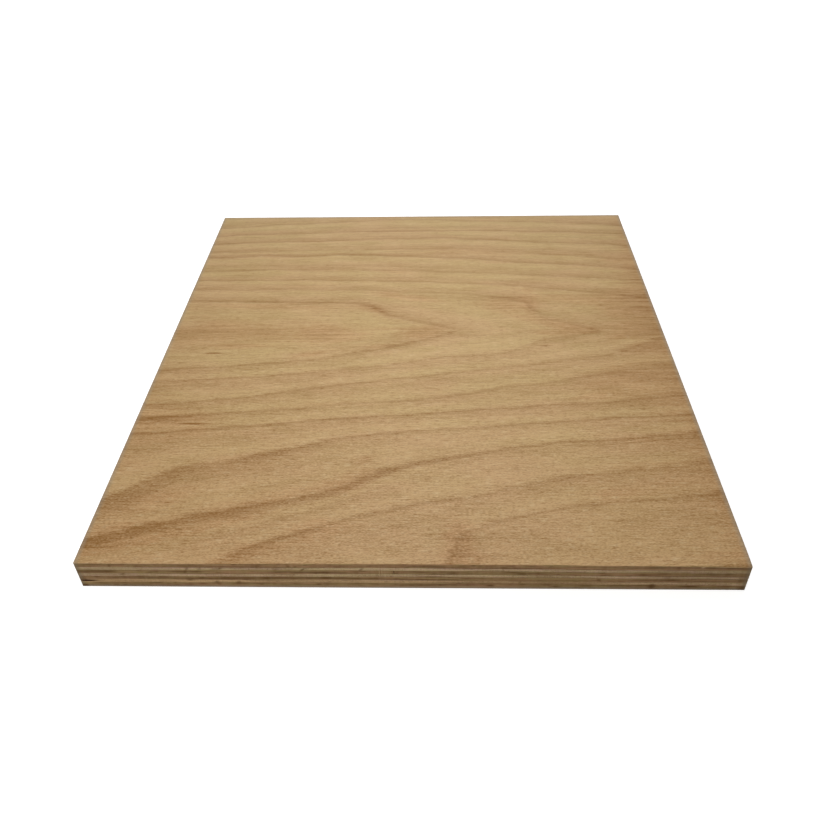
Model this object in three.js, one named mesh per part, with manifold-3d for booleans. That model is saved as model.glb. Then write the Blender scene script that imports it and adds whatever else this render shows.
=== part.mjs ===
// A square panel of seven-ply beech plywood, lying flat with its face veneer up.
// X runs along the grain of the face, Y across it and Z up through the thickness.
// The origin is the middle of the underside, and the front edge is at -Y.
import * as THREE from 'three';
import { ConvexGeometry } from 'three/addons/geometries/ConvexGeometry.js';
import { LoftGeometry } from 'three/addons/geometries/LoftGeometry.js';
import { mergeVertices } from 'three/addons/utils/BufferGeometryUtils.js';
import Module from 'manifold-3d';

const wasm = await Module();
wasm.setup();

// The panel's plan, in millimetres.
const PANEL_LENGTH = 300; // along the face grain
const PANEL_WIDTH = 300; // across the face grain

// The plies' thicknesses, from the underside up. The face was sanded, so its veneer is thinner
// than the back's.
const BACK_VENEER = 3.75;
const LOWER_CROSSBAND = 2.0;
const LOWER_INNER_PLY = 2.5;
const CENTRE_PLY = 2.0;
const UPPER_INNER_PLY = 2.5;
const UPPER_CROSSBAND = 2.0;
const FACE_VENEER = 2.75;

// The hand-sanded edges: radii, and the facets in each quarter turn.
const CORNER_RADIUS = 0.3; // the four upright corners
const ARRIS_RADIUS = 0.25; // round the top of the face veneer and the bottom of the back veneer
const EASE_FACETS = 3;

// A dry split in the end grain of the lower crossband, open at the front edge.
const SPLIT_START = 0.5; // from the left edge
const SPLIT_LENGTH = 7.5;
const SPLIT_PEAK = 2.8; // from its left tip to its widest place
const SPLIT_HEIGHT = 1.0;
const SPLIT_RISE = 0.75; // its middle, above the underside of the ply
const SPLIT_DEPTH = 12; // back along the grain, to a point

// An open butt joint between two sheets of veneer in the upper inner ply.
const JOINT_PLACE = 143.3; // from the left edge
const JOINT_GAP = 0.4;
const JOINT_DEPTH = 1.2; // open this far in, and filled with glue beyond

// A splinter lost from the front arris of the face veneer.
const CHIP_PLACE = 279.3; // from the left edge
const CHIP_LENGTH = 2.4;
const CHIP_REACH = 0.45; // in from the front edge
const CHIP_DROP = 0.35; // down from the face
const CHIP_FACETS = 12;

// How far a cutting body stands out of the wood, so that no two faces of a cut coincide.
const CUT_OVERRUN = 1;

const LEFT = -PANEL_LENGTH / 2;
const FRONT = -PANEL_WIDTH / 2;

const BEECH_FACE = { color: 0xb4956c, roughness: 0.55 };
const BEECH_LONG_GRAIN = { color: 0x9c7a52, roughness: 0.75 };
const BEECH_END_GRAIN = { color: 0xb49a78, roughness: 0.85 };

// Rounds a height to 1/1024 mm, which a 32-bit number holds exactly, so that the glued faces of
// two plies lie in one plane.
function glueHeight(height) {
  return Math.round(height * 1024) / 1024;
}

// The panel's outline at one height, drawn in all round by `inset`.
function outline(height, inset) {
  const halfLength = PANEL_LENGTH / 2 - inset;
  const halfWidth = PANEL_WIDTH / 2 - inset;
  const x = halfLength - CORNER_RADIUS;
  const y = halfWidth - CORNER_RADIUS;
  const corners = [[x, y], [-x, y], [-x, -y], [x, -y]];
  const points = [];
  corners.forEach(([cornerX, cornerY], quarter) => {
    for (let step = 0; step <= EASE_FACETS; step++) {
      const angle = (quarter + step / EASE_FACETS) * Math.PI / 2;
      const reachX = CORNER_RADIUS * Math.cos(angle);
      const reachY = CORNER_RADIUS * Math.sin(angle);
      points.push(new THREE.Vector3(cornerX + reachX, cornerY + reachY, height));
    }
  });
  return points;
}

// The outlines that round an arris over, from the upright edge to the flat face at `height`.
// `side` is 1 for an arris on top and -1 for one underneath.
function arrisOutlines(height, side) {
  const rings = [];
  for (let step = 0; step <= EASE_FACETS; step++) {
    const angle = step / EASE_FACETS * Math.PI / 2;
    const inset = ARRIS_RADIUS * (1 - Math.cos(angle));
    const drop = ARRIS_RADIUS * (1 - Math.sin(angle));
    rings.push(outline(height - side * drop, inset));
  }
  return rings;
}

// One sheet of veneer: a loft through the outlines of its two faces, with any eased arris.
function veneer(thickness, easedSide) {
  const under = easedSide === 'under' ? arrisOutlines(0, -1).reverse() : [outline(0, 0)];
  const top = easedSide === 'top' ? arrisOutlines(thickness, 1) : [outline(thickness, 0)];
  return new LoftGeometry([...under, ...top], { capStart: true, capEnd: true });
}

// The split's lens-shaped mouth in front of the edge, drawn back to a point along the grain.
function endGrainSplit() {
  const mouth = FRONT - CUT_OVERRUN;
  const start = LEFT + SPLIT_START;
  const peak = start + SPLIT_PEAK;
  const halfHeight = SPLIT_HEIGHT / 2;
  return new ConvexGeometry([
    new THREE.Vector3(start, mouth, SPLIT_RISE),
    new THREE.Vector3(peak, mouth, SPLIT_RISE + halfHeight),
    new THREE.Vector3(peak, mouth, SPLIT_RISE - halfHeight),
    new THREE.Vector3(start + SPLIT_LENGTH, mouth, SPLIT_RISE),
    new THREE.Vector3(peak, FRONT + SPLIT_DEPTH, SPLIT_RISE),
  ]);
}

// The open stretch of the butt joint, right through the ply.
function openJoint() {
  const depth = JOINT_DEPTH + CUT_OVERRUN;
  const height = UPPER_INNER_PLY + 2 * CUT_OVERRUN;
  const gap = new THREE.BoxGeometry(JOINT_GAP, depth, height);
  gap.translate(LEFT + JOINT_PLACE, FRONT + JOINT_DEPTH - depth / 2, UPPER_INNER_PLY / 2);
  return gap;
}

// The scallop that the lost splinter left.
function arrisChip() {
  const scallop = new THREE.SphereGeometry(1, CHIP_FACETS, CHIP_FACETS / 2);
  scallop.scale(CHIP_LENGTH / 2, CHIP_REACH, CHIP_DROP);
  scallop.translate(LEFT + CHIP_PLACE, FRONT, FACE_VENEER);
  return scallop;
}

// A manifold solid from a closed geometry, and a geometry back from a solid.
function toSolid(geometry) {
  const bare = new THREE.BufferGeometry();
  bare.setAttribute('position', geometry.getAttribute('position'));
  bare.setIndex(geometry.getIndex());
  const merged = mergeVertices(bare);
  return new wasm.Manifold(new wasm.Mesh({
    numProp: 3,
    vertProperties: new Float32Array(merged.attributes.position.array),
    triVerts: new Uint32Array(merged.index.array),
  }));
}

function toGeometry(solid) {
  const mesh = solid.getMesh();
  const geometry = new THREE.BufferGeometry();
  geometry.setAttribute('position', new THREE.BufferAttribute(mesh.vertProperties, 3));
  geometry.setIndex(new THREE.BufferAttribute(mesh.triVerts, 1));
  geometry.computeVertexNormals();
  return geometry;
}

function cutAway(geometry, cutter) {
  return toGeometry(toSolid(geometry).subtract(toSolid(cutter)));
}

// The lay-up, from the underside up. Every second ply has its grain turned across the panel, so
// it shows end grain on the front and back edges.
const layUp = [
  { name: 'back_veneer', thickness: BACK_VENEER, finish: BEECH_FACE, easedSide: 'under' },
  { name: 'lower_crossband', thickness: LOWER_CROSSBAND, finish: BEECH_END_GRAIN,
    cutter: endGrainSplit() },
  { name: 'lower_inner_ply', thickness: LOWER_INNER_PLY, finish: BEECH_LONG_GRAIN },
  { name: 'centre_ply', thickness: CENTRE_PLY, finish: BEECH_END_GRAIN },
  { name: 'upper_inner_ply', thickness: UPPER_INNER_PLY, finish: BEECH_LONG_GRAIN,
    cutter: openJoint() },
  { name: 'upper_crossband', thickness: UPPER_CROSSBAND, finish: BEECH_END_GRAIN },
  { name: 'face_veneer', thickness: FACE_VENEER, finish: BEECH_FACE, easedSide: 'top',
    cutter: arrisChip() },
];

const panel = new THREE.Group();
let underside = 0;
for (const { name, thickness, finish, easedSide, cutter } of layUp) {
  const height = glueHeight(thickness);
  const sheet = veneer(height, easedSide);
  const geometry = cutter ? cutAway(sheet, cutter) : sheet;
  const ply = new THREE.Mesh(geometry, new THREE.MeshStandardMaterial({ ...finish, metalness: 0 }));
  ply.name = name;
  ply.position.z = underside;
  panel.add(ply);
  underside += height;
}

export default panel;
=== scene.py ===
"""Looks for a square panel of seven-ply beech plywood, lying flat with its face veneer up.

Lengths in the tables are in millimetres, and the Blender objects are in metres. X runs along the
grain of the face, Y across it, and the front edge is at -Y.
"""

import math

import bpy
import numpy as np
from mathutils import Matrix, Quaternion, Vector


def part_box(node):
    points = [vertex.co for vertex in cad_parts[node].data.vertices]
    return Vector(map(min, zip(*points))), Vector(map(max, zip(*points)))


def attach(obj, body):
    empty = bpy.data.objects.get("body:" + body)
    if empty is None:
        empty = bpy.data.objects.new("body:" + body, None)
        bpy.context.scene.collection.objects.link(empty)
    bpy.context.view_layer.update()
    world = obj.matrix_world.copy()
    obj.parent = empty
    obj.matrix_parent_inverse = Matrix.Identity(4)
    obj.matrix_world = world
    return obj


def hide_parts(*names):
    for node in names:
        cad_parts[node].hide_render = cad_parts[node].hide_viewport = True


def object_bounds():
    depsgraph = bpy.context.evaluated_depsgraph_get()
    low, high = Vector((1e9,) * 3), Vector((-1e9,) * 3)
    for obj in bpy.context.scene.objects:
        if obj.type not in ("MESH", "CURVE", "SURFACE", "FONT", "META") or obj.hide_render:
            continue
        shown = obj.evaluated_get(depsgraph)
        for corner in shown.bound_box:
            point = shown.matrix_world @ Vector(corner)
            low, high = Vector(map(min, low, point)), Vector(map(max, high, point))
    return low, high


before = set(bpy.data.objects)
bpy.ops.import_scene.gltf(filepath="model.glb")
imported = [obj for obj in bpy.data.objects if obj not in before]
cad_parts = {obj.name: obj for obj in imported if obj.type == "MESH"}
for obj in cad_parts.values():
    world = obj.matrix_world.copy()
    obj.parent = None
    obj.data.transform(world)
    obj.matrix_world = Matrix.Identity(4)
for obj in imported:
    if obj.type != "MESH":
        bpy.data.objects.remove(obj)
cad_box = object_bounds()

MM = 0.001
lowest, highest = cad_box
half_x, half_y = highest.x, highest.y

# The lay-up, from the underside up. Every second ply has its grain turned across the panel.
PLIES = ("back_veneer", "lower_crossband", "lower_inner_ply", "centre_ply", "upper_inner_ply",
         "upper_crossband", "face_veneer")
CROSS_PLIES = PLIES[1::2]
BACK, FACE = PLIES[0], PLIES[-1]
SLOTS = {ply: "beech_crossband" if ply in CROSS_PLIES else "beech_long_ply" for ply in PLIES}
SLOTS[FACE] = SLOTS[BACK] = "beech_face"

# --- The panel's meshes ------------------------------------------------------------------------

SIDE_STEPS = 520  # columns of faces along each edge of the panel
CORNER_PLACES = (0.0, 0.1, 0.2, 0.35, 1.0)  # columns close to a corner, from it
PLY_ROWS = 9  # rows of faces up the edge of one ply
CORNER_RADIUS = 0.3
ARRIS_RADIUS = 0.25
ARRIS_STEPS = 3
SHARP_ANGLE = 50  # degrees
SEAM_WAVE = 0.12  # how far a glue line wanders up and down
BROAD_WAVE, SMALL_WAVE = 23.0, 6.0  # how long its waves are
SAW_RIPPLE = 0.012  # depth of the saw's marks down each edge
SIDE_FUZZ = 0.014  # depth of the streaks where a ply shows its long grain
END_FUZZ = 0.022  # depth of the fibre ends where it shows its end grain
GLUE_RECESS = 0.03
GLUE_REACH = 0.11  # how far from a glue line the recess reaches
NO_GLUE = 9.0  # the distance given to places away from every glue line

# The heights of the rows of the ply that has the split, closer together where it opens.
SPLIT_ROWS = (0, 0.3, 0.5, 0.62, 0.72, 0.82, 0.91, 1.0, 1.09, 1.18, 1.28, 1.38, 1.5, 1.65, 1.8, 2)

# Defects of the front edge, placed from the left edge and from the underside of their ply. Painted
# shade darkens the wood from the first of the depths called dark, and is darkest from the second.
SPLIT = dict(ply="lower_crossband", start=0.3, end=8.2, peak=2.7, rise=1.0, height=1.1, lip=0.12,
             wander=0.1, depth=2.5, dark=(0.07, 0.17))
OPEN_JOINT = dict(ply="upper_inner_ply", place=143.2, gap=0.4, depth=0.3, bevel=0.04,
                  dark=(0.15, 0.45))
CHIP = dict(place=279.3, length=1.5, reach=0.4, drop=0.32)  # off the face's front arris

# How far above its level each glue line lies along the front edge, from the lowest one up, at
# places BOW_SPACING apart from the left.
BOW_SPACING = 30
SEAM_BOWS = (
    (-0.2, -0.1, 0.0, 0.4, 0.3, 0.35, 0.6, 0.35, -0.15, -0.1, -0.45),
    (0.0, -0.05, -0.1, 0.0, 0.25, 0.4, 0.1, -0.35, -0.25, -0.25, -0.45),
    (-0.3, -0.1, -0.25, -0.1, 0.15, 0.35, 0.4, 0.4, 0.1, 0.0, -0.25),
    (-0.2, -0.3, -0.4, -0.15, 0.15, 0.3, 0.05, 0.0, -0.2, -0.4, -0.55),
    (-0.4, -0.25, 0.1, 0.4, 0.45, 0.3, 0.35, 0.0, -0.3, -0.3, -0.7),
    (-0.2, -0.2, -0.15, 0.0, 0.15, 0.25, 0.0, -0.1, -0.35, -0.45, -0.55),
)
# How worn the face's front arris is, as (from the left, share of the chip's reach and drop), dying
# out round both corners. It is less than 0 where the arris is sharper than the others.
FRONT_WEAR = [(0, 0.1), (16, 0.3), (40, 0.3), (60, 0), (74, -0.6), (84, -0.2), (96, 0.15),
              (215, 0.15), (222, -0.2), (230, -0.6), (240, -0.5), (283, -0.4), (290, 1.4),
              (297, 1.4), (300, 0.9), (306, 0), (1194, 0), (1200, 0.1)]
SHARPEST = -0.55
BARE_ARRIS = (74, 230)  # where the front arris shows the wood of the edge


def knots(table, column=1):
    """The places in a table's first column, and the values of another column there."""
    return [row[0] for row in table], [row[column] for row in table]


def from_left(x):
    return x / MM - lowest.x / MM


def from_back(y):
    return highest.y / MM - y / MM


def blended(field, i, j, next_i, next_j, s, t):
    """The field between four of its points, s of the way from i and t of the way from j."""
    low = field[i, j] * (1 - s) + field[next_i, j] * s
    high = field[i, next_j] * (1 - s) + field[next_i, next_j] * s
    return low * (1 - t) + high * t


def value_noise(seed, u, v=0.0):
    """Smooth noise from 0 to 1, with one random value at each whole number of u and v."""
    size = 128
    lattice = np.random.default_rng(seed).random((size, size))
    u, v = np.broadcast_arrays(np.asarray(u, float), np.asarray(v, float))
    i, j = np.floor(u).astype(int), np.floor(v).astype(int)
    s, t = u - i, v - j
    s, t = s * s * (3 - 2 * s), t * t * (3 - 2 * t)
    return blended(lattice, i % size, j % size, (i + 1) % size, (j + 1) % size, s, t)


def side_places(length):
    """Where the columns of one edge stand, from its left end to its right end, in millimetres."""
    corner = np.array(CORNER_PLACES)
    steps = SIDE_STEPS - 2 * (len(corner) - 1)
    middle = np.linspace(corner[-1], length - corner[-1], steps + 1)
    return np.concatenate([corner[:-1], middle, length - corner[-2::-1]])


def joint_columns(places):
    """The places, with the four nearest to the open joint moved onto its two sides."""
    half, bevel = OPEN_JOINT["gap"] / 2, OPEN_JOINT["bevel"]
    first = np.searchsorted(places, OPEN_JOINT["place"]) - 2
    places[first : first + 4] = OPEN_JOINT["place"] + np.array(
        [-half - bevel, -half + 0.001, half - 0.001, half + bevel]
    )
    return places


class Rim:
    """The panel's outline as a closed ring of points, anticlockwise from the front left corner."""

    def __init__(self):
        self.x_places = joint_columns(side_places(2 * half_x / MM)) * MM - half_x
        self.y_places = side_places(2 * half_y / MM) * MM - half_y
        xs, ys = self.x_places, self.y_places
        ones = np.ones(SIDE_STEPS)
        self.x = np.concatenate([xs[:-1], half_x * ones, xs[:0:-1], -half_x * ones])
        self.y = np.concatenate([-half_y * ones, ys[:-1], half_y * ones, ys[:0:-1]])
        self.side = np.repeat([0, 1, 2, 3], SIDE_STEPS)  # front, right, back and left
        self.out_x = np.array([0.0, 1.0, 0.0, -1.0])[self.side]
        self.out_y = np.array([-1.0, 0.0, 1.0, 0.0])[self.side]
        corners = SIDE_STEPS * np.arange(4)  # a corner's point leans out of both its sides
        self.out_x[corners] += self.out_x[corners - 1]
        self.out_y[corners] += self.out_y[corners - 1]
        lengths = np.hypot(np.diff(self.x, append=self.x[0]), np.diff(self.y, append=self.y[0]))
        self.run = np.concatenate([[0.0], np.cumsum(lengths)[:-1]]) / MM
        self.count = len(self.side)

    def points(self, inset, depth):
        """The ring drawn in by inset all round, and by depth at each point."""
        reach_x, reach_y = half_x - inset, half_y - inset
        x = self.x * reach_x / half_x
        y = self.y * reach_y / half_y
        radius = CORNER_RADIUS * MM
        over_x = np.abs(x) - (reach_x - radius)
        over_y = np.abs(y) - (reach_y - radius)
        corner = (over_x > 0) & (over_y > 0)
        pull = np.minimum(radius / np.maximum(np.hypot(over_x, over_y), 1e-9), 1.0)
        x = np.where(corner, np.sign(x) * (reach_x - radius + over_x * pull), x)
        y = np.where(corner, np.sign(y) * (reach_y - radius + over_y * pull), y)
        return x - self.out_x * depth, y - self.out_y * depth


rim = Rim()


def seam_height(level):
    """The height all round the rim of the glue line under ply number `level`."""
    if level in (0, len(PLIES)):
        return np.full(rim.count, highest.z if level else lowest.z)
    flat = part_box(PLIES[level])[0].z
    run = rim.run
    broad = value_noise(10 + level, run / BROAD_WAVE) - 0.5
    small = 0.45 * (value_noise(30 + level, run / SMALL_WAVE) - 0.5)
    wave = 2 * SEAM_WAVE * (np.where(rim.side == 0, 0.3, 1.0) * broad + small)
    bows = SEAM_BOWS[level - 1]
    places = BOW_SPACING * np.arange(len(bows))
    beyond = BOW_SPACING + places[-1]  # the bow dies out past both corners
    bow = np.interp(run, [*places, beyond, run[-1] - BOW_SPACING, run[-1]],
                    [*bows, 0.0, 0.0, bows[0]])
    return flat + (wave + bow) * MM


def split_depth(ply, height):
    """How deep the split in the end grain is, at a height above the ply's underside."""
    if ply != SPLIT["ply"]:
        return 0.0
    start, peak, end = SPLIT["start"], SPLIT["peak"], SPLIT["end"]
    run = rim.run
    across = np.where(run < peak, (run - start) / (peak - start), (end - run) / (end - peak))
    half_open = np.clip(across, 0, 1) * SPLIT["height"] / 2
    rise = SPLIT["rise"] + SPLIT["wander"] * (value_noise(71, run / 1.7) - 0.5)
    inside = np.clip((half_open - np.abs(height - rise)) / SPLIT["lip"], 0, 1)
    open_here = (rim.side == 0) & (half_open > 0)
    return np.where(open_here, inside * half_open * 2, 0.0) * SPLIT["depth"]


def joint_depth(ply):
    """How deep the open joint is, straight through the ply that has it."""
    if ply != OPEN_JOINT["ply"]:
        return 0.0
    away = np.abs(rim.run - OPEN_JOINT["place"])
    return np.where((rim.side == 0) & (away < OPEN_JOINT["gap"] / 2), OPEN_JOINT["depth"], 0.0)


def edge_depth(ply, height, glue_distance):
    """How far the sawn edge lies inside the box, in millimetres, at one height of one ply.

    The places are divided by how far apart the marks are.
    """
    run = rim.run
    number = PLIES.index(ply)
    shows_end = (rim.side % 2 == 0) == (ply in CROSS_PLIES)
    saw = SAW_RIPPLE * value_noise(2, (run + 0.3 * height) / 0.9)
    streaks = SIDE_FUZZ * value_noise(100 + number, run / 7.0, height / 0.22)
    ends = END_FUZZ * value_noise(200 + number, run / 0.8, height / 0.25)
    recess = GLUE_RECESS * np.exp(-((glue_distance / GLUE_REACH) ** 2))
    deep = split_depth(ply, height) + joint_depth(ply)
    return saw + np.where(shows_end, ends, streaks) + recess + deep


def chip_share():
    """How much of the face's arris is lost at each point of the rim, from SHARPEST to about 1."""
    away = (rim.run - CHIP["place"]) / CHIP["length"]
    lost = np.where(rim.side == 0, np.exp(-(away**2)), 0.0)
    small = value_noise(5, rim.run / 1.1) * value_noise(6, rim.run / 7.0)
    wear_and_rim_shade = np.interp(rim.run, *knots(FRONT_WEAR)) * (0.7 + 0.6 * value_noise(8, rim.run / 5.0))
    return np.maximum(lost + wear_and_rim_shade + 0.25 * np.clip(small - 0.45, 0, 1) / 0.55, SHARPEST)


class Ply:
    """One sheet of veneer as a closed mesh: a band of faces round its sawn edge and two caps."""

    def __init__(self, name):
        self.name = name
        level = PLIES.index(name)
        self.under, self.top = seam_height(level), seam_height(level + 1)
        self.points, self.glue, self.hollow_shade = [], [], []
        self.quads, self.triangles = [], []
        self.rows = self.edge_rows()
        self.band_faces = (len(self.rows) - 1) * rim.count
        self.make_band()

    def add(self, x, y, z, glue=NO_GLUE, hollow_shade=0.0):
        """Adds points, with how far each is from the glue and how much painted shade its hollow
        gets.
        """
        first = sum(len(p) for p in self.points)
        x, y, z = np.broadcast_arrays(x, y, z)
        self.points.append(np.stack([x, y, z], 1))
        self.glue.append(np.broadcast_to(glue, x.shape))
        self.hollow_shade.append(np.broadcast_to(hollow_shade, x.shape))
        return first + np.arange(len(x))

    def edge_rows(self):
        """The rings of the edge, each as (share of the height, inset, rise) from the bottom up."""
        shares = np.linspace(0, 1, PLY_ROWS + 1)
        if self.name == SPLIT["ply"]:
            shares = np.array(SPLIT_ROWS) / SPLIT_ROWS[-1]
        rows = [(share, 0.0, 0.0) for share in shares]
        quarter = np.linspace(0, math.pi / 2, ARRIS_STEPS + 1)[1:]
        curve = [(ARRIS_RADIUS * (1 - math.cos(a)), ARRIS_RADIUS * math.sin(a)) for a in quarter]
        if self.name == FACE:
            rows += [(1.0, inset, rise) for inset, rise in curve]
        if self.name == BACK:
            rows = [(0.0, inset, -rise) for inset, rise in reversed(curve)] + rows
        return rows

    def make_band(self):
        """The sawn edge, from the ring at the bottom to the ring at the top."""
        rings = []
        lost = chip_share() if self.name == FACE else 0.0
        shallow, deep = (SPLIT if self.name == SPLIT["ply"] else OPEN_JOINT)["dark"]
        for share, inset, rise in self.rows:
            under, top = self.under.copy(), self.top.copy()
            if self.name == FACE:
                top -= (ARRIS_RADIUS + CHIP["drop"] * lost) * MM
            if self.name == BACK:
                under += ARRIS_RADIUS * MM
            z = under + share * (top - under) + rise * MM
            z = z + rise / ARRIS_RADIUS * CHIP["drop"] * lost * MM
            height = (z - self.under) / MM
            glue = np.full(rim.count, NO_GLUE)
            if self.name != BACK:
                glue = np.minimum(glue, height)
            if self.name != FACE:
                glue = np.minimum(glue, (self.top - z) / MM)
            depth = edge_depth(self.name, height, glue)
            depth = depth + inset / ARRIS_RADIUS * CHIP["reach"] * lost
            # Painted shade in the split and the open joint, from how deep they lie.
            hollow_shade = (depth - shallow) / (deep - shallow) * (share < 1)
            rings.append(self.add(*rim.points(inset * MM, depth * MM), z, glue, hollow_shade))
        for low, high in zip(rings, rings[1:]):
            after_low, after_high = np.roll(low, -1), np.roll(high, -1)
            self.quads.append(np.stack([low, after_low, after_high, high], 1))
        self.low_ring, self.high_ring = rings[0], rings[-1]

    def close(self, ring, upwards, z):
        """A hidden glued face: a fan from the middle of the panel to the ring."""
        middle = self.add(np.zeros(1), 0.0, z)[0]
        after = np.roll(ring, -1)
        ends = (ring, after) if upwards else (after, ring)
        self.triangles.append(np.stack([np.full(len(ring), middle), *ends], 1))

    def spread(self, ring, upwards, z):
        """An outer face: a grid of squares, joined to the finer ring round it."""
        first = len(CORNER_PLACES) - 1
        inner = slice(first, SIDE_STEPS + 1 - first, 2)
        xs, ys = rim.x_places[inner], rim.y_places[inner]
        grid_x, grid_y = np.meshgrid(xs, ys, indexing="ij")
        made = self.add(grid_x.ravel(), grid_y.ravel(), z).reshape(len(xs), len(ys))
        quads = [made[:-1, :-1], made[1:, :-1], made[1:, 1:], made[:-1, 1:]]
        self.quads.append(turned(np.stack([q.ravel() for q in quads], 1), upwards))
        borders = (made[:, 0], made[-1, :], made[::-1, -1], made[0, ::-1])
        for side, border in enumerate(borders):
            start = side * SIDE_STEPS + first
            fine = ring[start + 2 * np.arange(len(border) - 1)[:, None] + np.arange(3)]
            here, after = border[:-1], border[1:]
            around = ring[(side * SIDE_STEPS + np.arange(-first, first + 1)) % rim.count]
            for corners in (
                (here, fine[:, 0], fine[:, 1]),
                (here, fine[:, 1], after),
                (after, fine[:, 1], fine[:, 2]),
                (np.full(2 * first, border[0]), around[:-1], around[1:]),
            ):
                self.triangles.append(turned(np.stack(corners, 1), upwards))

    def finish(self):
        """Makes the Blender object. The faces of the band come first in its mesh."""
        points = np.concatenate(self.points)
        faces = [f for group in self.quads + self.triangles for f in group.tolist()]
        mesh = bpy.data.meshes.new(self.name + "_wood")
        mesh.from_pydata(points.tolist(), [], faces)
        write_numbers(mesh, "glue", np.concatenate(self.glue))
        write_numbers(mesh, "hollow_shade", np.concatenate(self.hollow_shade))
        if self.name not in (FACE, BACK):
            write_numbers(mesh, "shade", edge_shade(points))
        piece = bpy.data.objects.new(self.name + "_wood", mesh)
        bpy.context.scene.collection.objects.link(piece)
        return piece


def edge_shade(points):
    """How dark the stains and marks of the front edge are at each point."""
    left, up = from_left(points[:, 0]), points[:, 2] / MM
    shade = np.zeros(len(points))
    for place, height, length, tall, dark in EDGE_STAINS:
        spread = ((left - place) / (length / 2)) ** 4 + ((up - height) / (tall / 2)) ** 2
        shade += dark / 100 * np.exp(-spread)
    for place, height, length, tall, dark, *lean in EDGE_MARKS:
        away = left - place - sum(lean) * (up - height)
        spread = (away / (length / 2)) ** 2 + ((up - height) / (tall / 2)) ** 2
        shade += MARK_STRENGTH * (dark / 100) * np.exp(-spread)
    at_front = points[:, 1] < lowest.y + MARK_REACH * MM
    return np.where(at_front, np.clip(shade, -1, 1), 0.0)


def turned(faces, upwards):
    return faces if upwards else faces[:, ::-1]


def write_numbers(mesh, name, values):
    layer = mesh.attributes.new(name, "FLOAT", "POINT")
    layer.data.foreach_set("value", np.asarray(values, np.float32))


# --- The figure of the two faces ---------------------------------------------------------------

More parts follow.
